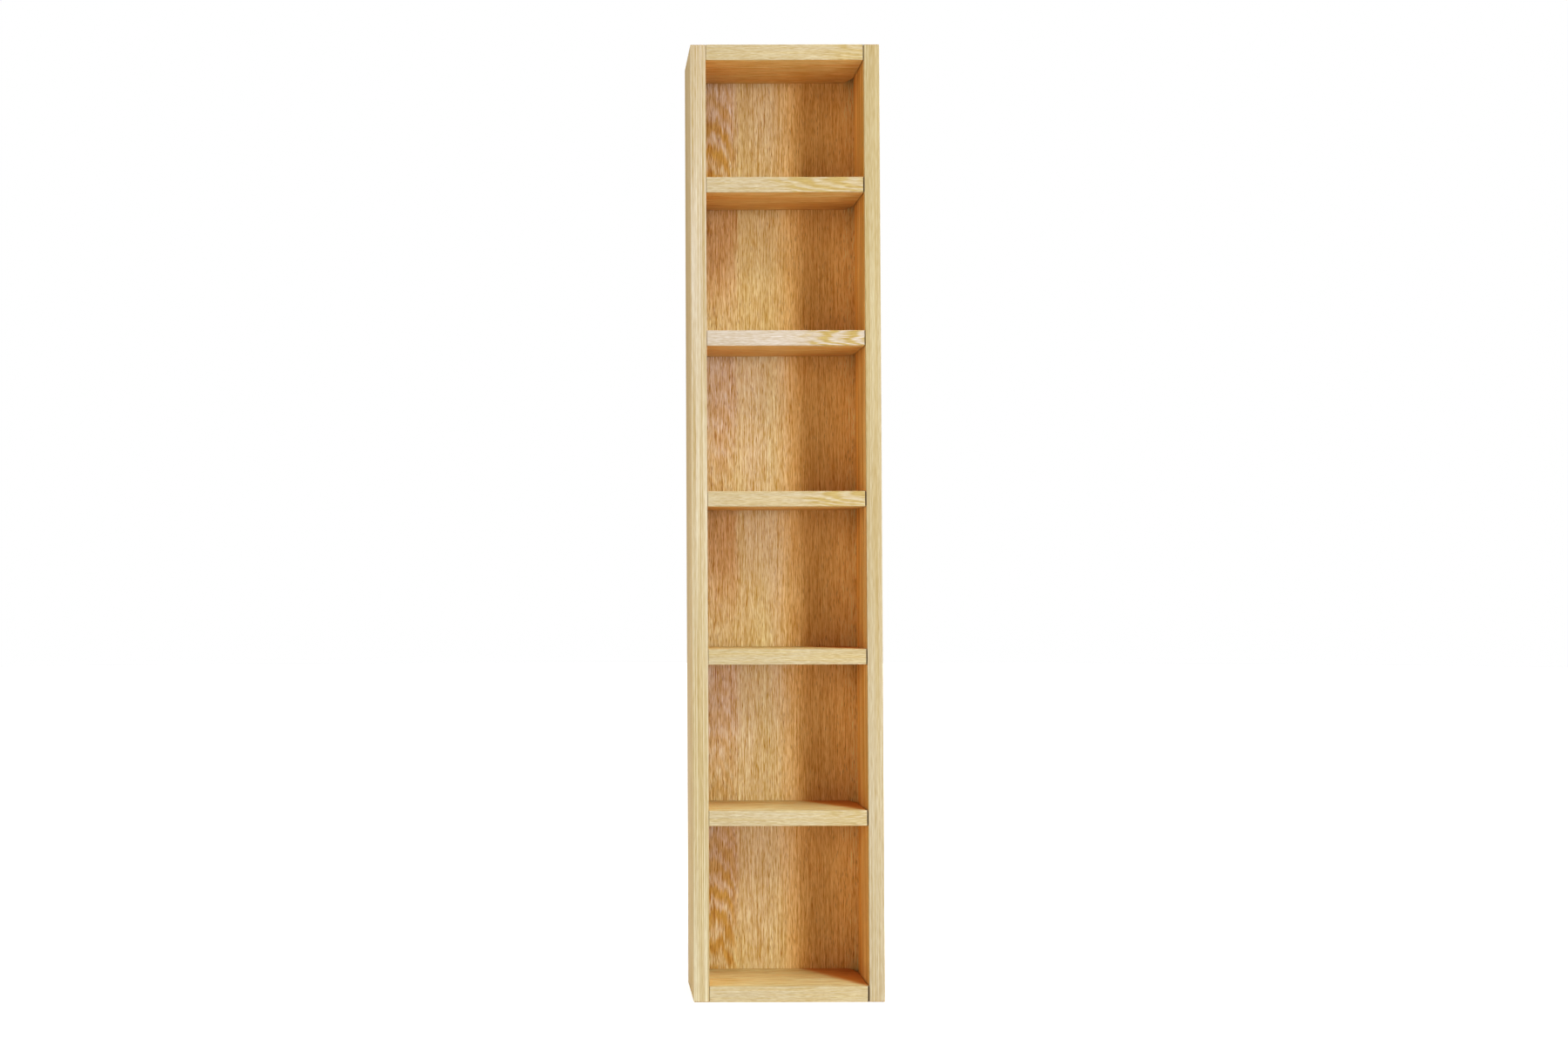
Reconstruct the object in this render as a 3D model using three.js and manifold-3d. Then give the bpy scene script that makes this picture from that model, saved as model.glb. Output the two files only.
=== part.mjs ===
// Tall narrow open-front oak cabinet: two full-height sides, a top board, a bottom board and five
// fixed shelves between them, and one full-height back panel in a rear rebate.
// Every board is doweled to both sides, and the back panel is screwed to the rear edge of each board.
// Millimetres. +Z is up, the open front faces -Y, and the origin is the centre of the base.
import * as THREE from "three";
import { mergeVertices } from "three/addons/utils/BufferGeometryUtils.js";
import Module from "manifold-3d";

const wasm = await Module();
wasm.setup();

// ---- driving dimensions ----
const WIDTH = 220;
const DEPTH = 130;
const BOARD = 18; // thickness of the sides and of every board between them
const CLEAR_HEIGHTS = [184, 168, 165, 169, 161, 137]; // the compartments, from the bottom up

const BACK_THICKNESS = 6;
const BACK_FIT = 0.3; // side clearance of the back panel in its rebates, and behind the boards
const REBATE_WIDTH = 9; // how far the rear rebate cuts into a side's inner face
const REBATE_DEPTH = 33; // how far it reaches forward from a side's rear edge
const EAR_THICKNESS = 12; // ears of the top and bottom boards close the ends of the rebates
const CLIP_WIDTH = 7; // the rear corners of every board are clipped beside the rebates ...
const CLIP_DEPTH = 28; // ... from this far forward of its rear edge

const LEFT_JOINT = 0.25; // the boards sit tight on the left side ...
const RIGHT_JOINT = 0.6; // ... and show a slightly wider joint line on the right

const DOWEL_RADIUS = 4;
const DOWEL_LENGTH = 35;
const DOWEL_IN_SIDE = 12;
const DOWEL_CHAMFER = 0.8;
const DOWEL_SETBACKS = [28, 76]; // dowel axes behind the front edges of the boards
const HOLE_PLAY = 0.3; // radial play round a dowel or a screw
const HOLE_END_PLAY = 1; // empty depth past each end of a dowel

const SCREW_LENGTH = 25;
const SCREW_SHANK_RADIUS = 1.5;
const SCREW_HEAD_RADIUS = 3;
const SCREW_HEAD_HEIGHT = 1.8;
const SCREW_RECESS_RADIUS = 1.1;
const SCREW_RECESS_DEPTH = 1;
const SCREW_SINK = 0.2; // a screw's head lies this far below the rear face
const SCREW_OFFSET = 60; // the screws stand this far either side of the centre line

const ROUND_SEGMENTS = 12;
const SCREW_SEGMENTS = 16;
const DRIVE_SEGMENTS = 6;

// ---- derived dimensions ----
const BOARD_COUNT = CLEAR_HEIGHTS.length + 1;
const HEIGHT = CLEAR_HEIGHTS.reduce((sum, gap) => sum + gap, 0) + BOARD_COUNT * BOARD;
const FRONT_Y = -DEPTH / 2;
const REAR_Y = DEPTH / 2;
const BACK_FACE_Y = REAR_Y - BACK_THICKNESS;
const BOARD_REAR_Y = BACK_FACE_Y - BACK_FIT;
const INNER_X = WIDTH / 2 - BOARD;
const BOARD_LEFT_X = -INNER_X + LEFT_JOINT;
const BOARD_RIGHT_X = INNER_X - RIGHT_JOINT;

// Height of each board's lower face, from the bottom board up to the top board.
const boardLevels = [0];
for (const gap of CLEAR_HEIGHTS) {
  boardLevels.push(boardLevels[boardLevels.length - 1] + BOARD + gap);
}
const shelfNames = CLEAR_HEIGHTS.slice(1).map((_, i) => `shelf_${CLEAR_HEIGHTS.length - 1 - i}`);
const boardNames = ["bottom_board", ...shelfNames, "top_board"];
const screwXs = [-SCREW_OFFSET, SCREW_OFFSET];

// ---- materials ----
const oak = (color) => new THREE.MeshStandardMaterial({ color, roughness: 0.5, metalness: 0 });
const sideOak = () => oak(0xd9c596);
const boardOak = () => oak(0xdcc89c);
const panelOak = () => oak(0xc0925e);
const beech = () => oak(0xd8b384);
const zinc = () => new THREE.MeshStandardMaterial({ color: 0xc9c7bf, roughness: 0.35, metalness: 1 });

// ---- helpers ----
function boxBetween(low, high) {
  const size = high.map((value, i) => value - low[i]);
  const centre = high.map((value, i) => (value + low[i]) / 2);
  return new THREE.BoxGeometry(...size).translate(...centre);
}

function toSolid(geometry) {
  const bare = geometry.clone();
  bare.deleteAttribute("normal");
  bare.deleteAttribute("uv");
  const merged = mergeVertices(bare);
  const vertProperties = new Float32Array(merged.attributes.position.array);
  const triVerts = new Uint32Array(merged.index.array);
  return new wasm.Manifold(new wasm.Mesh({ numProp: 3, vertProperties, triVerts }));
}

function toGeometry(solid) {
  const mesh = solid.getMesh();
  const geometry = new THREE.BufferGeometry();
  const positions = [];
  for (const vertex of mesh.triVerts) {
    positions.push(...mesh.vertProperties.slice(vertex * mesh.numProp, vertex * mesh.numProp + 3));
  }
  geometry.setAttribute("position", new THREE.Float32BufferAttribute(positions, 3));
  geometry.computeVertexNormals();
  return geometry;
}

function cutFrom(geometry, cutters) {
  const solid = cutters.reduce((body, cutter) => body.subtract(toSolid(cutter)), toSolid(geometry));
  return toGeometry(solid);
}

function join(geometry, additions) {
  const solid = additions.reduce((body, addition) => body.add(toSolid(addition)), toSolid(geometry));
  return toGeometry(solid);
}

// A round bar along X between two x values.
function barAlongX(radius, x0, x1, y, z) {
  const bar = new THREE.CylinderGeometry(radius, radius, x1 - x0, ROUND_SEGMENTS);
  return bar.rotateZ(Math.PI / 2).translate((x0 + x1) / 2, y, z);
}

// A turned shape along Y: each profile point is (radius, distance forward of the rear face).
function turnedAlongY(profile, segments, x, z) {
  const points = profile.map(([radius, forward]) => new THREE.Vector2(radius, forward));
  return new THREE.LatheGeometry(points, segments).rotateX(Math.PI).translate(x, REAR_Y, z);
}

// ---- the places of the dowels and screws ----
const dowelSpots = [];
boardLevels.forEach((level, i) => {
  for (const side of [-1, 1]) {
    DOWEL_SETBACKS.forEach((setback, row) => {
      dowelSpots.push({
        name: `dowel_${boardNames[i]}_${side < 0 ? "left" : "right"}_${row === 0 ? "front" : "rear"}`,
        board: i,
        side,
        y: FRONT_Y + setback,
        z: level + BOARD / 2,
      });
    });
  }
});

// The x range of a dowel, or of its hole when play is added at each end.
function dowelSpan(side, play) {
  const near = INNER_X + DOWEL_IN_SIDE + play;
  const far = INNER_X + DOWEL_IN_SIDE - DOWEL_LENGTH - play;
  return side < 0 ? [-near, -far] : [far, near];
}

function dowelHole(spot) {
  const [x0, x1] = dowelSpan(spot.side, HOLE_END_PLAY);
  return barAlongX(DOWEL_RADIUS + HOLE_PLAY, x0, x1, spot.y, spot.z);
}

function screwHole(x, z) {
  const shank = SCREW_SHANK_RADIUS + HOLE_PLAY;
  const head = SCREW_HEAD_RADIUS + HOLE_PLAY;
  const underHead = SCREW_SINK + SCREW_HEAD_HEIGHT + HOLE_PLAY;
  const end = SCREW_SINK + SCREW_LENGTH + HOLE_END_PLAY;
  const profile = [
    [0, -1], [head, -1], [head, SCREW_SINK + HOLE_PLAY], [shank, underHead], [shank, end], [0, end],
  ];
  return turnedAlongY(profile, SCREW_SEGMENTS, x, z);
}

// ---- sub-parts ----
function sideGeometry(side) {
  const outer = (side * WIDTH) / 2;
  const inner = side * INNER_X;
  const rebateX = side * (INNER_X + REBATE_WIDTH);
  const panel = boxBetween(
    [Math.min(outer, inner), FRONT_Y, 0],
    [Math.max(outer, inner), REAR_Y, HEIGHT],
  );
  const past = side * (INNER_X - 1);
  const rebate = boxBetween(
    [Math.min(past, rebateX), REAR_Y - REBATE_DEPTH, -1],
    [Math.max(past, rebateX), REAR_Y + 1, HEIGHT + 1],
  );
  const holes = dowelSpots.filter((spot) => spot.side === side).map(dowelHole);
  return cutFrom(panel, [rebate, ...holes]);
}

// The ears that reach from a board's rear corners into the rebates, at the outer face of the cabinet.
function earBoxes(level) {
  const bottom = level === 0 ? 0 : HEIGHT - EAR_THICKNESS;
  const tip = INNER_X + REBATE_WIDTH - BACK_FIT;
  const spans = [[-tip, BOARD_LEFT_X + 1], [BOARD_RIGHT_X - 1, tip]];
  return spans.map(([x0, x1]) => boxBetween(
    [x0, REAR_Y - REBATE_DEPTH + BACK_FIT, bottom],
    [x1, BOARD_REAR_Y, bottom + EAR_THICKNESS],
  ));
}

// Wedges that clip a board's rear corners. Each runs 1 mm past the board's end and rear edge.
function cornerClips(z0, z1) {
  const slope = CLIP_DEPTH / CLIP_WIDTH;
  return [[-1, BOARD_LEFT_X], [1, BOARD_RIGHT_X]].map(([side, end]) => {
    const past = end + side;
    const wedge = new THREE.Shape([
      new THREE.Vector2(past, BOARD_REAR_Y + 1),
      new THREE.Vector2(past, BOARD_REAR_Y - CLIP_DEPTH - slope),
      new THREE.Vector2(end - side * (CLIP_WIDTH + 1 / slope), BOARD_REAR_Y + 1),
    ]);
    return new THREE.ExtrudeGeometry(wedge, { depth: z1 - z0, bevelEnabled: false }).translate(0, 0, z0);
  });
}

function boardGeometry(index) {
  const level = boardLevels[index];
  const plain = boxBetween(
    [BOARD_LEFT_X, FRONT_Y, level],
    [BOARD_RIGHT_X, BOARD_REAR_Y, level + BOARD],
  );
  const outermost = index === 0 || index === BOARD_COUNT - 1;
  const blank = outermost ? join(plain, earBoxes(level)) : plain;
  const clipFrom = index === 0 ? EAR_THICKNESS : level - 1;
  const clipTo = index === BOARD_COUNT - 1 ? HEIGHT - EAR_THICKNESS : level + BOARD + 1;
  const clips = cornerClips(clipFrom, clipTo);
  const holes = dowelSpots.filter((spot) => spot.board === index).map(dowelHole);
  const pilots = screwXs.map((x) => screwHole(x, level + BOARD / 2));
  return cutFrom(blank, [...clips, ...holes, ...pilots]);
}

function backGeometry() {
  const half = INNER_X + REBATE_WIDTH - BACK_FIT;
  const panel = boxBetween([-half, BACK_FACE_Y, 0], [half, REAR_Y, HEIGHT]);
  const holes = boardLevels.flatMap((level) => screwXs.map((x) => screwHole(x, level + BOARD / 2)));
  return cutFrom(panel, holes);
}

function dowelGeometry(spot) {
  const [x0, x1] = dowelSpan(spot.side, 0);
  const profile = [
    [0, 0], [DOWEL_RADIUS - DOWEL_CHAMFER, 0], [DOWEL_RADIUS, DOWEL_CHAMFER],
    [DOWEL_RADIUS, DOWEL_LENGTH - DOWEL_CHAMFER], [DOWEL_RADIUS - DOWEL_CHAMFER, DOWEL_LENGTH],
    [0, DOWEL_LENGTH],
  ].map(([radius, along]) => new THREE.Vector2(radius, along));
  const turned = new THREE.LatheGeometry(profile, ROUND_SEGMENTS).rotateZ(-Math.PI / 2);
  return turned.translate(Math.min(x0, x1), spot.y, spot.z);
}

// A countersunk wood screw with a straight recess for its driver and a pointed end.
function screwGeometry(x, z) {
  const underHead = SCREW_SINK + SCREW_HEAD_HEIGHT;
  const end = SCREW_SINK + SCREW_LENGTH;
  const screw = turnedAlongY(
    [
      [0, SCREW_SINK], [SCREW_HEAD_RADIUS, SCREW_SINK], [SCREW_SHANK_RADIUS, underHead],
      [SCREW_SHANK_RADIUS, end - 2 * SCREW_SHANK_RADIUS], [0, end],
    ],
    SCREW_SEGMENTS, x, z,
  );
  const recess = turnedAlongY(
    [
      [0, -1], [SCREW_RECESS_RADIUS, -1],
      [SCREW_RECESS_RADIUS, SCREW_SINK + SCREW_RECESS_DEPTH], [0, SCREW_SINK + SCREW_RECESS_DEPTH],
    ],
    DRIVE_SEGMENTS, x, z,
  );
  return cutFrom(screw, [recess]);
}

// ---- assembly ----
const cabinet = new THREE.Group();

function addPart(name, geometry, material) {
  const mesh = new THREE.Mesh(geometry, material);
  mesh.name = name;
  cabinet.add(mesh);
}

addPart("left_side", sideGeometry(-1), sideOak());
addPart("right_side", sideGeometry(1), sideOak());
boardNames.forEach((name, i) => addPart(name, boardGeometry(i), boardOak()));
addPart("back_panel", backGeometry(), panelOak());
for (const spot of dowelSpots) {
  addPart(spot.name, dowelGeometry(spot), beech());
}
boardLevels.forEach((level, i) => {
  for (const x of screwXs) {
    const name = `back_screw_${boardNames[i]}_${x < 0 ? "left" : "right"}`;
    addPart(name, screwGeometry(x, level + BOARD / 2), zinc());
  }
});

export default cabinet;
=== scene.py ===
"""Looks of a tall narrow open oak cabinet: camera, studio, eased arrises and procedural oak.

Lengths are in metres in the row frame: +Z up, the open front faces -Y, origin at the centre of the base.
The materials work in millimetres in the same frame.
"""

import math

import bpy
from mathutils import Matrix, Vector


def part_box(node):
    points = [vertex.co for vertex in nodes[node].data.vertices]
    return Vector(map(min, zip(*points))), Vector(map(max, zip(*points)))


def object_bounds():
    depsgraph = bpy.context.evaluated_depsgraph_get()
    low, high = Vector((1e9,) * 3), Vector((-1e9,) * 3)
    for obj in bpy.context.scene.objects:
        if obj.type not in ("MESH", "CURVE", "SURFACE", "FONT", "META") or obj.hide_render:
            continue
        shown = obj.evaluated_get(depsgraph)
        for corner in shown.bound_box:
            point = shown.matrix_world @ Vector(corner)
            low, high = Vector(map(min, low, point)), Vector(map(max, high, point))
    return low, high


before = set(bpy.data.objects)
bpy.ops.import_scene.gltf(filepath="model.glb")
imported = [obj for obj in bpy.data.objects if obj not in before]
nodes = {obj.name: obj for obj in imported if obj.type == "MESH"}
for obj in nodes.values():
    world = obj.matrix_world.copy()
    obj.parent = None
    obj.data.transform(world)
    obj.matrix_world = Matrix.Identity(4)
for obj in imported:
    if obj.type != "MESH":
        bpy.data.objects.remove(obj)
cad_low, cad_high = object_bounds()

MM = 0.001
BOARDS = ("bottom_board", "shelf_5", "shelf_4", "shelf_3", "shelf_2", "shelf_1", "top_board")
SIDE_ARRIS = 0.8 * MM
BOARD_ARRIS = 0.7 * MM
ARRIS_SEGMENTS = 3
SHARP_ANGLE = math.radians(60)  # edges that turn by more than this are eased
WELD_DISTANCE = 0.01 * MM

# ---- camera ----
CAMERA_BEFORE_FRONT = 2.622
CAMERA_HEIGHT = 0.475
CAMERA_LEFT_OF_CENTRE = 0.246
CAMERA_PITCH_UP = math.radians(1.705)
CAMERA_ROLL = math.radians(0.135)
FOCAL_MM, SENSOR_MM = 52.0, 36.0
SHIFT_X = 0.1334

# ---- studio: soft sources as (azimuth, elevation, spread, strength) ----
# The angles are in degrees. Azimuth 0 is straight in front of the cabinet, and 90 is on its right.
SOURCES = {
    "key_low": (28.5, 1, 9, 0.283),
    "key_high": (28.5, 30, 12, 0.173),
    "key_edge": (34, 15, 20, 0.124),
    "front": (0, 1, 16, 0.022),
    "fill_left": (-25, 10, 20, 0.041),
    "fill_far_left": (-50, 10, 20, 0.169),
    "overhead_front": (25, 50, 25, 0.270),
    "overhead": (0, 70, 25, 0.235),
    "rear_right": (140, 30, 30, 0.20),
    "rear_left": (-120, 20, 30, 0.50),
}
AMBIENT = 0.01
FLOOR_RADIUS = 12.0
FLOOR_DROP = 0.3 * MM  # the floor lies this far under the base, so that the two never coincide
FLOOR_BOUNCE = 0.06  # what the floor gives back to the cabinet besides the light that falls on it
FLOOR_SEEN = 0.62  # what the camera sees there, so that the floor runs into the white backdrop
FLOOR_COLOUR = (0.86, 0.86, 0.87, 1)
WHITE = (1, 1, 1, 1)
VIEW_GAMMA = 0.8  # a little more contrast, as a studio photograph has

# ---- oak colours ----
EDGE_PALE = (0.645, 0.560, 0.455)
EDGE_PLAIN = (0.600, 0.500, 0.290)
EDGE_GOLD = (0.540, 0.400, 0.145)
EDGE_HONEY = (0.615, 0.490, 0.225)
# Painted shade and light: a board's underside is a warmer, deeper copy of its wood and its top a paler one.
FACE_UNDER = (0.850, 0.610, 0.270)
UNDER_BROWN = (0.850, 0.520, 0.185)
FACE_UPPER = (0.780, 0.715, 0.435)
UPPER_BROWN = (0.790, 0.630, 0.300)
# Painted shadow of the right side on the shelf tops, in the warm tone of bounced light.
UPPER_PAINTED_SHADOW = (0.735, 0.330, 0.080)
# Painted shade: the inner faces of the sides are a deeper orange copy of the outer ones, browner towards
# the rear.
INNER_WALL = (0.880, 0.560, 0.200)
INNER_BROWN = (0.850, 0.485, 0.135)
OUTER_WALL = (0.720, 0.560, 0.320)
OUTER_BROWN = (0.660, 0.480, 0.230)
# Painted shade, near black: the open joints at the boards' right ends, the clipped corner pockets and the
# sides' rear rebates.
RECESS_SHADE = (0.08, 0.040, 0.018)
END_GRAIN = (0.640, 0.490, 0.280)
END_RING = (0.500, 0.340, 0.155)
VENEER = (0.705, 0.535, 0.275)
VENEER_PALE = (0.725, 0.585, 0.370)
VENEER_HONEY = (0.710, 0.580, 0.270)
# Painted shade under each shelf on the back's left leaf.
VENEER_PINK_SHADE = (0.740, 0.590, 0.435)
VENEER_RUSSET_SHADE = (0.650, 0.420, 0.190)
# The right leaf: an orange that is partly its own tone and partly painted shade, and a lighter amber of
# painted light near the wall.
VENEER_ORANGE_SHADED = (0.790, 0.500, 0.175)
VENEER_AMBER_LIGHT = (0.970, 0.600, 0.205)
VENEER_GOLD = (0.615, 0.375, 0.090)
BACKING = (0.660, 0.530, 0.330)
BACKING_BROWN = (0.610, 0.440, 0.220)
PORE = (0.36, 0.17, 0.05)
BEECH = (0.66, 0.48, 0.30)
BEECH_DARK = (0.58, 0.40, 0.22)
ZINC_DULL = (0.62, 0.61, 0.58)
ZINC_BRIGHT = (0.78, 0.77, 0.74)
# How much of its red, green and blue a tone loses where it darkens: oak goes brown, not grey.
EDGE_TINT = (0.66, 1.00, 1.75)
FACE_TINT = (0.62, 1.08, 2.20)

# ---- wood surface ----
SATIN = 0.5  # roughness of the thin lacquer
UNFINISHED = 0.6  # roughness of bare wood
ROUGHNESS_SWING = 0.06  # how far the fibres move it
PORE_ROUGHNESS = 0.2
GLOSS = 0.28
RELIEF_DEPTH = 0.08 * MM
RELIEF_STRENGTH = 0.2
FIBRE_RELIEF = 0.35  # how high the fibres stand, where the pores are 1 deep
NOISE_RANGE = (0.3, 0.7)  # the noise that makes the streaks seldom leaves it
PORE_RADIUS = (0.16, 0.46)  # from the core of a pore to its rim, as a share of its cell
PORE_FADE = 0.25  # the share of the cells whose pore is only partly dark
SEED_STEP = 731.0  # each piece is cut from the wood this much further along the grain

# ---- where the tones lie, in millimetres ----
# A range is where one tone gives way to the next, and a fade is how wide such a range is.
EDGE_RANGE = (0.5, 1.6)  # behind the front, from the tone of a front edge to that of the faces
FACE_RANGE = (-2.0, 2.0)  # about a board's middle, from the tone of its underside to that of its top
FLAME_FADE = 28.0
JOINT_FADE = 0.5
SHADOW_SLANT = 0.54  # the painted shadow of the right side on top of a shelf begins along a slanting line ... ... where x and this share of y add up to the range
SHADOW_RANGE = (48.0, 68.0)  # ... where x and this share of y add up to the range
CLIP_WIDTH = 8.4  # the clipped rear corners of the boards are painted dark with recess shade
CLIP_WIDTH_FADE = 1.0
CLIP_DEPTH = 30.7
CLIP_DEPTH_FADE = 2.0
SHADE_HALF_THICKNESS = (8.4, 8.9)  # a board's painted recess shade ends at its eased arrises
SIDE_INNER_RANGE = (96.0, 104.0)  # through a side's thickness, from its inner face to its outer one
REBATE_X_RANGE = (92.2, 92.8)  # inside the rear rebate of a side, shade is painted dark on the wood
REBATE_Y_RANGE = (32.0, 33.0)
WALL_RANGE = (-6.0, 14.0)  # from the front to the rear of a side's inner face, where the painted shade deepens
SAWN_END_RANGE = (0.4988, 0.4996)  # of a side's height, measured from its middle
# The leaves of the back panel's veneer, from left to right, and the arched figure of the left one.
LEFT_SEAM = (-54.0, -44.0)
# The right leaf begins where the right side's shadow falls; its orange is partly its own tone and partly
# painted shade.
RIGHT_SEAM = (-14.0, 38.0)
# Painted light: the right leaf turns a lighter amber towards the right wall.
AMBER_RANGE = (50.0, 92.0)
ARCH_CENTRE = -77.0
ARCH_RANGE = (-60.0, -46.0)
BACKING_RANGE = (1.0, 2.5)  # behind the panel's front, from its veneer to the plainer one on its rear


def make_camera():
    data = bpy.data.cameras.new("camera")
    data.lens, data.sensor_width, data.shift_x = FOCAL_MM, SENSOR_MM, SHIFT_X
    camera = bpy.data.objects.new("camera", data)
    camera.location = (-CAMERA_LEFT_OF_CENTRE, cad_low.y - CAMERA_BEFORE_FRONT, CAMERA_HEIGHT)
    camera.rotation_euler = (math.pi / 2 + CAMERA_PITCH_UP, CAMERA_ROLL, 0)
    bpy.context.scene.collection.objects.link(camera)
    bpy.context.scene.camera = camera


# ---- shader graph helper ----
class Graph:
    """Adds and links nodes in one node tree. A socket or a plain value can feed any input."""

    def __init__(self, tree):
        self.tree = tree
        tree.nodes.clear()

    def add(self, kind, inputs=None, **settings):
        node = self.tree.nodes.new(kind)
        for key, value in settings.items():
            setattr(node, key, value)
        for key, value in (inputs or {}).items():
            self.feed(node.inputs[key], value)
        return node

    def feed(self, socket, value):
        if isinstance(value, bpy.types.NodeSocket):
            self.tree.links.new(value, socket)
        else:
            socket.default_value = value

    def calculate(self, operation, a, b=0.0):
        return self.add("ShaderNodeMath", {0: a, 1: b}, operation=operation).outputs[0]

    def plus(self, a, b):
        return self.calculate("ADD", a, b)

    def minus(self, a, b):
        return self.calculate("SUBTRACT", a, b)

    def times(self, a, b):
        return self.calculate("MULTIPLY", a, b)

    def over(self, a, b):
        return self.calculate("DIVIDE", a, b)

    def larger(self, a, b):
        return self.calculate("MAXIMUM", a, b)

    def magnitude(self, value):
        return self.calculate("ABSOLUTE", value)

    def cycle(self, value, period):
        """How far value is through its period, from 0 to 1."""
        return self.calculate("FRACT", self.over(value, period))

    def combine(self, x, y, z):
        return self.add("ShaderNodeCombineXYZ", {0: x, 1: y, 2: z}).outputs[0]

    def noise(self, vector, detail=1.0):
        inputs = {"Vector": vector, "Scale": 1.0, "Detail": detail, "Roughness": 0.5}
        return self.add("ShaderNodeTexNoise", inputs).outputs[0]

    def remap(self, value, low, high, to_low=0.0, to_high=1.0):
        """Moves value from the range low to high into the range to_low to to_high, and clamps it there."""
        return self.add("ShaderNodeMapRange", {0: value, 1: low, 2: high, 3: to_low, 4: to_high}).outputs[0]

    def ease(self, value, low, high, to_low=0.0, to_high=1.0):
        """Does what remap does, with a soft start and end."""
        inputs = {0: value, 1: low, 2: high, 3: to_low, 4: to_high}
        return self.add("ShaderNodeMapRange", inputs, interpolation_type="SMOOTHSTEP").outputs[0]

    def hump(self, phase, rise_end, fall_start, fall_end):
        """Rises from 0 to 1 as phase goes from 0 to rise_end, and sinks again between the other two."""
        return self.times(self.ease(phase, 0.0, rise_end), self.ease(phase, fall_start, fall_end, 1.0, 0.0))

    def mix(self, factor, a, b):
        node = self.add("ShaderNodeMix", data_type="RGBA", clamp_factor=True)
        colours = [s for s in node.inputs if s.type == "RGBA"]
        self.feed(node.inputs[0], factor)
        for socket, value in zip(colours, (a, b)):
            self.feed(socket, value if isinstance(value, bpy.types.NodeSocket) else (*value, 1.0))
        return next(s for s in node.outputs if s.type == "RGBA")

    def scale(self, vector, factor):
        return self.add("ShaderNodeVectorMath", {0: vector, "Scale": factor}, operation="SCALE").outputs[0]


def new_material(name):
    material = bpy.data.materials.new(name)
    material.use_nodes = True
    return material, Graph(material.node_tree)


# ---- wood ----
class Wood:
    """Solid wood for one piece: coordinates in millimetres, and textures that follow its grain."""

    def __init__(self, name, grain, seed):
        self.material, self.g = new_material(name)
        place = self.g.add("ShaderNodeTexCoord").outputs["Object"]
        scaled = self.g.scale(place, 1 / MM)
        self.x, self.y, self.z = self.g.add("ShaderNodeSeparateXYZ", {0: scaled}).outputs
        self.along = self.g.plus(self.z if grain == "Z" else self.x, SEED_STEP * seed)
        self.across = self.x if grain == "Z" else self.z

    def stretched(self, width, length):
        """A texture vector whose cells are width across the grain and length along it."""
        g = self.g
        return g.combine(g.over(self.across, width), g.over(self.y, width), g.over(self.along, length))

    def fibres(self, width, length, detail=1.0, swing=1.0):
        """Streaks along the grain, from -swing to +swing."""
        noise = self.g.noise(self.stretched(width, length), detail)
        return self.g.remap(noise, *NOISE_RANGE, -swing, swing)

    def lines(self, width, length, dark, light):
        """Streaks along the grain that darken by up to dark and lighten by up to light."""
        streak = self.fibres(width, length)
        return self.g.times(streak, self.g.remap(streak, -1.0, 1.0, dark, light))

    def pores(self, width, length, share):
        """Short dashes along the grain. share is how many of the cells hold one."""
        g = self.g
        inputs = {"Vector": self.stretched(width, length), "Scale": 1.0, "Randomness": 1.0}
        cells = g.add("ShaderNodeTexVoronoi", inputs, feature="F1")
        dash = g.ease(cells.outputs["Distance"], *PORE_RADIUS, 1.0, 0.0)
        chance = g.add("ShaderNodeSeparateColor", {0: cells.outputs["Color"]}).outputs[0]
        return g.times(dash, g.remap(chance, 1 - share, 1 - share + PORE_FADE))

    def front_edge(self, front_y):
        """1 on the front edge, which lies at front_y, and 0 on the faces behind it."""
        start, end = EDGE_RANGE
        return self.g.ease(self.y, front_y + start, front_y + end, 1.0, 0.0)

    def shade(self, colour, tint, *streaks):
        """Darkens and lightens a colour by the sum of some streaks."""
        g = self.g
        total = streaks[0]
        for streak in streaks[1:]:
            total = g.plus(streak, total)
        inputs = {0: total, 1: tint, 2: (1, 1, 1)}
        factor = g.add("ShaderNodeVectorMath", inputs, operation="MULTIPLY_ADD").outputs[0]
        return g.add("ShaderNodeVectorMath", {0: colour, 1: factor}, operation="MULTIPLY").outputs[0]

    def finish(self, colour, pores, fine, rough=SATIN):
        """Satin surface: fibres and pores show in the gloss and in the relief."""
        g = self.g
        colour = g.mix(pores, colour, PORE)
        gloss = g.remap(fine, -1.0, 1.0, rough - ROUGHNESS_SWING, rough + ROUGHNESS_SWING)
        roughness = g.plus(gloss, g.times(pores, PORE_ROUGHNESS))
        height = g.minus(g.times(fine, FIBRE_RELIEF), pores)
        relief = {"Strength": RELIEF_STRENGTH, "Distance": RELIEF_DEPTH, "Height": height}
        bump = g.add("ShaderNodeBump", relief)
        bsdf = g.add("ShaderNodeBsdfPrincipled", {
            "Base Color": colour, "Roughness": roughness, "Normal": bump.outputs[0],
            "Specular IOR Level": GLOSS})
        out = g.add("ShaderNodeOutputMaterial")
        g.feed(out.inputs["Surface"], bsdf.outputs[0])
        return self.material


def arches(wood, run, cross, centre, bow, spacing, jag):
    """Cathedral figure: nested arches that open along the grain, with edges torn along the fibres.

    run goes along the grain and cross across it. bow is how far the arches bend, spacing the distance
    between them and jag how far their edges are torn. The result is 1 in the middle of a dark band.
    """
    g = wood.g
    off = g.minus(cross, centre)
    bent = g.plus(run, g.times(g.times(off, off), bow))
    torn = g.plus(bent, wood.fibres(width=1.2, length=16.0, swing=jag))
    torn = g.plus(torn, wood.fibres(width=9.0, length=45.0, swing=2.0 * jag))
    return g.hump(g.cycle(torn, spacing), rise_end=0.45, fall_start=0.62, fall_end=0.95)


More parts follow.
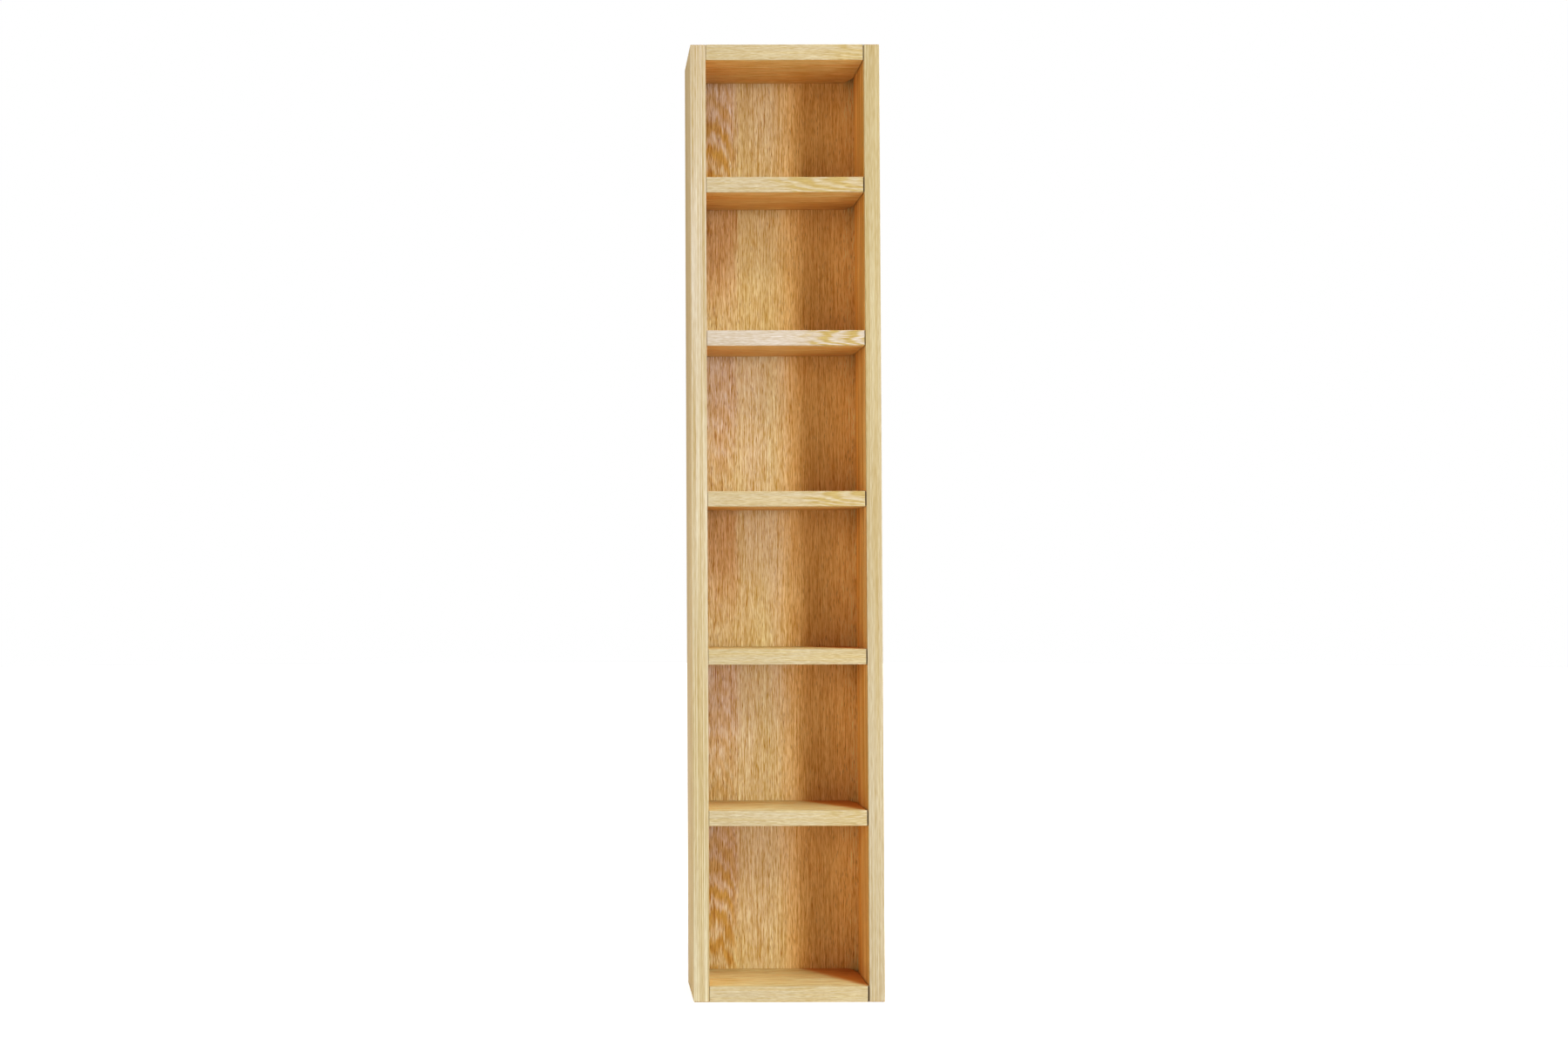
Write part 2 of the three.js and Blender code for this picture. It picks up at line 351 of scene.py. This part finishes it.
def end_grain(wood):
    """The sawn ends of a side: growth rings across the thickness, and dots for the pores."""
    g = wood.g
    ring_spacing, ring_slant = 3.2, 0.12
    swell_height, swell_length = 9.0, 20.0
    dots_per_mm = 2.2
    place = g.combine(wood.x, wood.y, 0.0)
    swell = g.times(g.noise(g.scale(place, 1 / swell_length)), swell_height)
    across_rings = g.plus(g.plus(wood.x, g.times(wood.y, ring_slant)), swell)
    ring = g.hump(g.cycle(across_rings, ring_spacing), rise_end=0.5, fall_start=0.7, fall_end=1.0)
    dots = g.remap(g.noise(g.scale(place, dots_per_mm)), 0.35, 0.7, -1.0, 1.0)
    return wood.shade(g.mix(ring, END_GRAIN, END_RING), FACE_TINT, g.times(dots, 0.16))


def board_edge(wood, fine, middle, look):
    """The front edge of a board: pale, with stripes and flames of its own."""
    g = wood.g
    thin = wood.fibres(width=0.7, length=40.0)
    broad = wood.fibres(width=3.0, length=110.0, detail=2.0)
    bands = arches(wood, wood.x, wood.z, middle + look["tilt"], look["bow"], look["spacing"], jag=5.0)
    start = g.plus(wood.x, wood.fibres(width=6.0, length=60.0, swing=14.0))
    where = g.ease(start, look["from"], look["from"] + FLAME_FADE)
    flame = g.times(g.times(bands, where), look["flame"])
    gold = g.larger(flame, g.remap(g.plus(broad, thin), -0.2, 1.6, 0.0, look["stripes"]))
    honey = g.remap(wood.fibres(width=2.0, length=70.0), -0.5, 1.0, 0.0, 0.9)
    edge = g.mix(honey, EDGE_PLAIN, EDGE_HONEY)
    edge = g.mix(look["pale"], edge, EDGE_PALE)
    edge = g.mix(gold, edge, EDGE_GOLD)
    return wood.shade(edge, EDGE_TINT, g.times(fine, 0.17), g.times(thin, 0.11), look["light"])


def board_faces(wood, middle, painted_shadow_shown):
    """The underside and the paler top of a board, painted as shaded and lit copies of one wood, whose top
    may carry a painted shadow of the right side at its rear right.
    """
    g = wood.g
    brown = g.remap(wood.fibres(width=10.0, length=150.0), -1.0, 1.0)
    under = g.mix(brown, FACE_UNDER, UNDER_BROWN)
    upper = g.mix(brown, FACE_UPPER, UPPER_BROWN)
    # Painted shadow: the right side's shadow on the top of every board but the top one.
    if painted_shadow_shown:
        corner = g.plus(wood.x, g.times(wood.y, SHADOW_SLANT))
        upper = g.mix(g.ease(corner, *SHADOW_RANGE), upper, UPPER_PAINTED_SHADOW)
    start, end = FACE_RANGE
    face = g.mix(g.ease(wood.z, middle + start, middle + end), under, upper)
    return wood.shade(
        face, FACE_TINT,
        wood.lines(width=0.4, length=50.0, dark=0.42, light=0.24),
        g.times(wood.fibres(width=1.6, length=14.0), 0.10),
        g.times(wood.fibres(width=4.0, length=24.0), 0.10))


def board_recess_shade(wood, middle, joint_width):
    """1 where shade is painted on a board: its clipped rear corners and the open joint at its right end."""
    g = wood.g
    core = g.ease(g.magnitude(g.minus(wood.z, middle)), *SHADE_HALF_THICKNESS, 1.0, 0.0)
    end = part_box("shelf_1")[1]  # the rear right corner of every board, without its clip or its ear
    clip_x, clip_y = end.x / MM - CLIP_WIDTH, end.y / MM - CLIP_DEPTH
    outward = g.ease(g.magnitude(wood.x), clip_x, clip_x + CLIP_WIDTH_FADE)
    clipped = g.times(outward, g.ease(wood.y, clip_y, clip_y + CLIP_DEPTH_FADE))
    joint_x = end.x / MM - joint_width
    joint = g.ease(wood.x, joint_x, joint_x + JOINT_FADE)
    return g.times(g.larger(joint, clipped), core)


def board_oak(name, seed, look):
    """A board with its grain along X: honey faces, painted lit on top and shaded below, and a paler front
    edge with its own figure.
    """
    wood = Wood("oak_" + name, "X", seed)
    g = wood.g
    low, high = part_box(name)
    middle = (low.z + high.z) / 2 / MM
    front = wood.front_edge(low.y / MM)
    fine = wood.fibres(width=0.45, length=7.0)
    faces = board_faces(wood, middle, painted_shadow_shown=name != "top_board")
    colour = g.mix(front, faces, board_edge(wood, fine, middle, look))
    # Painted recess shade in the open joint and the clipped corner pockets.
    colour = g.mix(board_recess_shade(wood, middle, look["joint"]), colour, RECESS_SHADE)
    on_faces, on_edge = 0.35, 0.15  # how strongly the pores show
    shown = g.remap(front, 0.0, 1.0, on_faces, on_edge)
    pores = g.times(wood.pores(width=0.7, length=8.0, share=0.35), shown)
    return wood.finish(colour, pores, fine)


def side_edge(wood, fine, height, look):
    """The front edge of a side: pale, with long golden stripes."""
    g = wood.g
    pale = g.remap(height, 0.25, 0.75, look["pale_low"], look["pale_high"])
    edge = g.mix(pale, EDGE_PLAIN, EDGE_PALE)
    rings = wood.fibres(width=3.0, length=420.0, detail=2.0)
    edge = g.mix(g.remap(rings, -0.2, 1.1, 0.0, look["gold"]), edge, EDGE_GOLD)
    thin = wood.fibres(width=1.1, length=300.0)
    light = g.remap(height, 0.0, 1.0, 0.035, look["light_high"])
    return wood.shade(edge, EDGE_TINT, g.times(fine, look["fine"]), g.times(thin, look["thin"]), light)


def side_faces(wood, fine, inner, look):
    """The plain outer face of a side with its arches, and the inner one in painted shade: deeper orange,
    browner to the rear.
    """
    g = wood.g
    broad = wood.fibres(width=14.0, length=400.0, detail=2.0)
    figure = arches(wood, wood.z, wood.y, look["heart"], bow=0.05, spacing=70.0, jag=5.0)
    brown = g.plus(g.remap(broad, -1.0, 1.0, 0.0, 0.5), g.times(figure, 0.45))
    outer = g.mix(brown, OUTER_WALL, OUTER_BROWN)
    rear_shade = g.ease(g.plus(wood.y, g.times(broad, 6.0)), *WALL_RANGE)
    face = g.mix(inner, outer, g.mix(rear_shade, INNER_WALL, INNER_BROWN))
    on_outer, on_inner = 0.08, 0.34  # how strongly the long layers show
    shown = g.remap(inner, 0.0, 1.0, on_outer, on_inner)
    layers = g.times(wood.fibres(width=9.0, length=320.0), shown)
    return wood.shade(face, FACE_TINT, g.times(fine, 0.12), layers, g.times(broad, 0.08))


def side_oak(name, seed, look):
    """A full-height side with its grain along Z: pale striped front edge, and an inner face in painted
    shade.
    """
    wood = Wood("oak_" + name, "Z", seed)
    g = wood.g
    low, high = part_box(name)
    front = wood.front_edge(low.y / MM)
    off_centre = g.magnitude(wood.x)
    inner = g.ease(off_centre, *SIDE_INNER_RANGE, 1.0, 0.0)
    height = g.over(wood.z, high.z / MM)
    fine = wood.fibres(width=0.55, length=16.0)

    colour = g.mix(front, side_faces(wood, fine, inner, look), side_edge(wood, fine, height, look))
    end = g.ease(g.magnitude(g.minus(height, 0.5)), *SAWN_END_RANGE)
    colour = g.mix(end, colour, end_grain(wood))
    # Painted shade inside the rear rebate of the side.
    within = g.times(g.ease(off_centre, *REBATE_X_RANGE), inner)
    rebate = g.times(g.ease(wood.y, *REBATE_Y_RANGE), within)
    colour = g.mix(rebate, colour, RECESS_SHADE)
    on_faces, on_edge = 0.35, 0.16  # how strongly the pores show
    shown = g.remap(front, 0.0, 1.0, on_faces, on_edge)
    pores = g.times(wood.pores(width=0.8, length=10.0, share=0.35), shown)
    return wood.finish(colour, pores, fine)


def height_ramp(wood, stops, interpolation="LINEAR"):
    """A value, or three at once, that changes with the height. stops are (height, value) from below."""
    ramp = wood.g.add("ShaderNodeValToRGB", {0: wood.g.over(wood.z, cad_high.z / MM)})
    ramp.color_ramp.interpolation = interpolation
    elements = ramp.color_ramp.elements
    elements[0].position, elements[1].position = stops[0][0] / cad_high.z, stops[-1][0] / cad_high.z
    for height, _ in stops[1:-1]:
        elements.new(height / cad_high.z)
    for element, (_, value) in zip(elements, stops):
        element.color = (*value, 1.0) if isinstance(value, tuple) else (value, value, value, 1.0)
    return ramp.outputs[0]


# The back in each compartment, from the lowest up: how strong the arches of its left leaf are, how
# pink the painted shade under the shelf above is on that leaf, and how pale the middle leaf is.
LEAF_LOOKS = (
    (1.0, 0.70, 0.5), (0.45, 0.85, 1.0), (0.05, 0.05, 0.6),
    (0.40, 1.00, 1.0), (0.0, 0.05, 0.1), (1.0, 1.0, 0.4),
)


def compartment_ramps(wood):
    """The fall, 0 under the board above and 1 on top of the board below, and the look there."""
    fall_stops, look_stops = [], []
    for look, below, above in zip(LEAF_LOOKS, BOARDS, BOARDS[1:]):
        floor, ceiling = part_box(below)[1].z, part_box(above)[0].z
        fall_stops += [(floor, 1.0), (ceiling, 0.0)]
        look_stops.append((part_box(below)[0].z, look))
    look = height_ramp(wood, look_stops, "CONSTANT")
    return height_ramp(wood, fall_stops), wood.g.add("ShaderNodeSeparateColor", {0: look}).outputs


def veneer_tone(wood, left, right, wide, broad, fall, look):
    """The ground colour of the three leaves, with the arches of the left one, and painted shade and light
    in each compartment.
    """
    g = wood.g
    arched, pink, pale = look
    # Painted shade: the left leaf is pinkish or russet under each shelf, and this fades towards the board
    # below.
    left_shade = g.mix(pink, VENEER_RUSSET_SHADE, VENEER_PINK_SHADE)
    # How much painted shade falls on the left leaf under the shelf above.
    upper = g.ease(g.plus(fall, g.times(wide, 0.10)), 0.25, 0.95, 1.0, 0.0)
    colour = g.mix(pale, VENEER, VENEER_PALE)
    # Painted light: lighter and yellower towards the board below, mixed with random honey streaks.
    colour = g.mix(g.plus(g.times(fall, 0.5), g.times(broad, 0.3)), colour, VENEER_HONEY)
    colour = g.mix(g.times(left, upper), colour, left_shade)
    # Painted shade and light on the right leaf, over its own orange tone.
    colour = g.mix(right, colour, g.mix(g.ease(wood.x, *AMBER_RANGE), VENEER_ORANGE_SHADED, VENEER_AMBER_LIGHT))
    bands = arches(wood, wood.z, wood.x, ARCH_CENTRE, bow=0.055, spacing=31.0, jag=4.0)
    shown = g.times(g.ease(wood.x, *ARCH_RANGE, 1.0, 0.0), g.ease(fall, 0.05, 0.6, 0.5, 1.0))
    return g.mix(g.times(g.times(bands, shown), arched), colour, VENEER_GOLD)


def back_oak():
    """The back panel: a thin veneered sheet, three leaves wide, with open dark pores."""
    wood = Wood("oak_back_panel", "Z", seed=20)
    g = wood.g
    low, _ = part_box("back_panel")
    fall, look = compartment_ramps(wood)
    wide = wood.fibres(width=8.0, length=160.0, detail=2.0)
    broad = wood.fibres(width=26.0, length=260.0, detail=2.0)
    seam = g.plus(wood.x, wood.fibres(width=5.0, length=60.0, swing=2.5))
    left = g.ease(seam, *LEFT_SEAM, 1.0, 0.0)
    right = g.ease(seam, *RIGHT_SEAM)

    colour = veneer_tone(wood, left, right, wide, broad, fall, look)
    backing = g.mix(g.remap(g.plus(broad, wide), -1.2, 1.2), BACKING, BACKING_BROWN)
    backing_start, backing_end = BACKING_RANGE
    behind = g.ease(wood.y, low.y / MM + backing_start, low.y / MM + backing_end)
    colour = g.mix(behind, colour, backing)

    short_lines = wood.lines(width=0.30, length=10.0, dark=0.52, light=0.27)
    long_lines = wood.lines(width=0.42, length=45.0, dark=0.40, light=0.20)
    # The lines are strongest on the left leaf and weakest on the right one.
    strength = g.plus(1.0, g.plus(g.times(left, 0.10), g.times(right, -0.10)))
    lines = g.times(g.plus(short_lines, long_lines), strength)
    # A lift of the whole back, larger under each shelf: painted light there.
    lift_top, lift_bottom = 0.10, 0.06
    lift_and_painted_light = g.remap(fall, 0.0, 1.0, lift_top, lift_bottom)
    colour = wood.shade(colour, FACE_TINT, lines, g.times(wide, 0.04), lift_and_painted_light)
    # The pores are densest on the left leaf, and come in wide streaks.
    crowded = g.plus(wide, g.plus(g.times(left, 1.6), g.times(right, 0.4)))
    dense = g.remap(crowded, -1.0, 1.0, 0.3, 0.85)
    pores = g.times(wood.pores(width=0.8, length=9.0, share=0.35), dense)
    return wood.finish(colour, pores, wood.fibres(width=0.38, length=9.0))


def dowel_beech():
    """Beech of the dowels: fine short flecks on an even ground."""
    wood = Wood("beech_dowel", "X", seed=40)
    g = wood.g
    fine = wood.fibres(width=0.8, length=6.0)
    tone = g.mix(g.remap(wood.fibres(width=3.0, length=30.0), -1.0, 1.0), BEECH, BEECH_DARK)
    tone = wood.shade(tone, EDGE_TINT, g.times(fine, 0.08))
    pores = g.times(wood.pores(width=0.6, length=3.0, share=0.3), 0.25)
    return wood.finish(tone, pores, fine, UNFINISHED)


def screw_zinc():
    """Bright zinc plating of the screws, slightly mottled."""
    material, g = new_material("zinc_screw")
    specks_per_mm = 1.5
    place = g.scale(g.add("ShaderNodeTexCoord").outputs["Object"], specks_per_mm / MM)
    speck = g.noise(place, detail=2.0)
    bsdf = g.add("ShaderNodeBsdfPrincipled", {
        "Base Color": g.mix(speck, ZINC_DULL, ZINC_BRIGHT), "Metallic": 1.0,
        "Roughness": g.remap(speck, 0.3, 0.7, 0.25, 0.45)})
    g.feed(g.add("ShaderNodeOutputMaterial").inputs["Surface"], bsdf.outputs[0])
    return material


def paint(name, material):
    node = nodes[name]
    node.data.materials.clear()
    node.data.materials.append(material)


def ease_arrises(name, width):
    """Rounds the arrises of a piece, as a sander leaves them."""
    node = nodes[name]
    weld = node.modifiers.new("weld", "WELD")
    weld.merge_threshold = WELD_DISTANCE
    bevel = node.modifiers.new("ease", "BEVEL")
    bevel.width = width
    bevel.segments = ARRIS_SEGMENTS
    bevel.limit_method = "ANGLE"
    bevel.angle_limit = SHARP_ANGLE
    bevel.harden_normals = True
    for polygon in node.data.polygons:
        polygon.use_smooth = True


# ---- studio ----
def make_world():
    """White to the camera, and a weak even light to everything else."""
    world = bpy.data.worlds.new("studio")
    bpy.context.scene.world = world
    world.use_nodes = True
    g = Graph(world.node_tree)
    seen = g.add("ShaderNodeBackground", {"Color": WHITE, "Strength": 1.0})
    light = g.add("ShaderNodeBackground", {"Color": WHITE, "Strength": AMBIENT})
    ray = g.add("ShaderNodeLightPath").outputs["Is Camera Ray"]
    mix = g.add("ShaderNodeMixShader", {0: ray, 1: light.outputs[0], 2: seen.outputs[0]})
    g.feed(g.add("ShaderNodeOutputWorld").inputs["Surface"], mix.outputs[0])


def make_sources():
    for name, (azimuth, elevation, spread, strength) in SOURCES.items():
        data = bpy.data.lights.new(name, "SUN")
        data.energy, data.angle = math.pi * strength, math.radians(spread)
        lamp = bpy.data.objects.new(name, data)
        lamp.rotation_euler = (math.pi / 2 - math.radians(elevation), 0, math.radians(azimuth))
        bpy.context.scene.collection.objects.link(lamp)


def make_floor():
    bpy.ops.mesh.primitive_circle_add(vertices=96, radius=FLOOR_RADIUS, fill_type="NGON")
    floor = bpy.context.object
    floor.name = "floor"
    floor.location = (0, 0, -FLOOR_DROP)
    material, g = new_material("floor_white")
    ray = g.add("ShaderNodeLightPath").outputs["Is Camera Ray"]
    bsdf = g.add("ShaderNodeBsdfPrincipled", {
        "Base Color": FLOOR_COLOUR, "Roughness": 0.7, "Emission Color": WHITE,
        "Emission Strength": g.remap(ray, 0.0, 1.0, FLOOR_BOUNCE, FLOOR_SEEN)})
    g.feed(g.add("ShaderNodeOutputMaterial").inputs["Surface"], bsdf.outputs[0])
    floor.data.materials.append(material)


make_camera()
make_world()
make_sources()
make_floor()

# The looks of each board, with lengths in millimetres. "joint" is how wide the painted shade of the open
# joint at its right end is. The rest is the figure on its front edge: "pale" is the share of the pale tone,
# "light" lifts the whole edge, "stripes" and "flame" are how strong its golden stripes and arches are,
# "from" is where the arches begin along X, "bow" is how far they bend, "tilt" is how far above the middle
# they are centred, and "spacing" is the distance between them.
BOARD_LOOKS = {
    "top_board": {
        "joint": 0.5, "pale": 0.30, "light": -0.01, "stripes": 0.7,
        "flame": 0.7, "from": 38, "bow": -0.5, "tilt": 8, "spacing": 45},
    "shelf_1": {
        "joint": 1.0, "pale": 0.45, "light": 0.00, "stripes": 0.5,
        "flame": 0.9, "from": -20, "bow": -0.3, "tilt": 7, "spacing": 38},
    "shelf_2": {
        "joint": 0.5, "pale": 1.00, "light": 0.00, "stripes": 0.1,
        "flame": 1.0, "from": 10, "bow": -0.3, "tilt": 1, "spacing": 27},
    "shelf_3": {
        "joint": 1.0, "pale": 0.40, "light": 0.00, "stripes": 0.4,
        "flame": 0.9, "from": 15, "bow": -0.4, "tilt": 6, "spacing": 32},
    "shelf_4": {
        "joint": 0.9, "pale": 0.25, "light": 0.01, "stripes": 0.5,
        "flame": 0.3, "from": 30, "bow": 1.2, "tilt": -8, "spacing": 40},
    "shelf_5": {
        "joint": 1.0, "pale": 0.30, "light": 0.03, "stripes": 0.4,
        "flame": 0.5, "from": 30, "bow": 0.8, "tilt": 6, "spacing": 34},
    "bottom_board": {
        "joint": 1.3, "pale": 0.25, "light": 0.06, "stripes": 0.5,
        "flame": 0.3, "from": -10, "bow": 1.4, "tilt": 9, "spacing": 44},
}
# The looks of each side. On its front edge "fine" and "thin" are how strong the short and the long streaks
# are, "pale_low" and "pale_high" are the shares of the pale tone a quarter and three quarters of the way
# up, "gold" is the share of golden stripes, and "light_high" lifts its top. "heart" is where the arches
# on the outer face are centred along Y, in millimetres.
SIDE_LOOKS = {
    "left_side": {
        "fine": 0.12, "thin": 0.26, "pale_low": 0.15, "pale_high": 0.60,
        "gold": 0.30, "light_high": -0.07, "heart": -20.0},
    "right_side": {
        "fine": 0.14, "thin": 0.14, "pale_low": 0.35, "pale_high": 0.05,
        "gold": 0.42, "light_high": -0.05, "heart": 12.0},
}
for seed, (name, look) in enumerate(SIDE_LOOKS.items(), start=1):
    paint(name, side_oak(name, seed, look))
    ease_arrises(name, SIDE_ARRIS)
for seed, (name, look) in enumerate(BOARD_LOOKS.items(), start=5):
    paint(name, board_oak(name, seed, look))
    ease_arrises(name, BOARD_ARRIS)
paint("back_panel", back_oak())
beech = dowel_beech()
zinc = screw_zinc()
for name in nodes:
    if name.startswith("dowel"):
        paint(name, beech)
    if name.startswith("back_screw"):
        paint(name, zinc)

scene = bpy.context.scene
scene.view_settings.view_transform = "Standard"
scene.view_settings.look = "None"
scene.view_settings.gamma = VIEW_GAMMA
